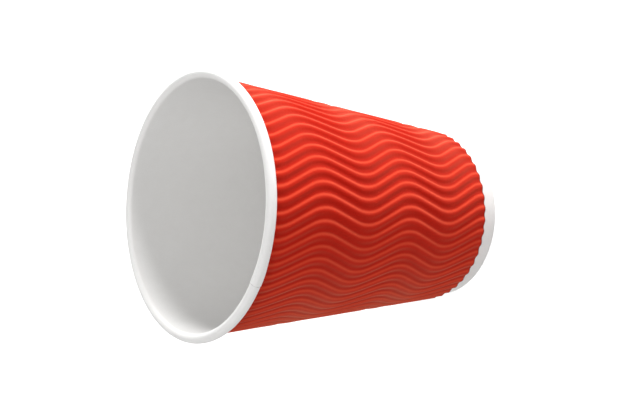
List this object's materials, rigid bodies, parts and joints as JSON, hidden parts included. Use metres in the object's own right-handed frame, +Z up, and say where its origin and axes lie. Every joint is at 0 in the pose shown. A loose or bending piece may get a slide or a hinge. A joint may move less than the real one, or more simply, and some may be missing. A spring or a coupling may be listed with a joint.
{
  "type": "ripple-wall paper cup",
  "caption": "Tapered white paper hot cup with a rolled rim, a recessed base and a red corrugated paper sleeve whose ripples run up it in a rounded zigzag.",
  "frame": {"origin": "on the cup's axis at the level of the foot it stands on", "axes": "+Z up the axis towards the mouth; -Y towards the viewer in the picture; the board's side seam is at -122 degrees and the sleeve's at +72 degrees, both from +X towards +Y"},
  "size_m": [0.09, 0.09, 0.11],
  "materials": {
    "white_board": "satin, coated white cup board",
    "red_paper": "glossy coated red paper"
  },
  "bodies": {
    "root": {"cup_wall": "white_board", "cup_base": "white_board", "ripple_sleeve": "red_paper"}
  },
  "joints": []
}
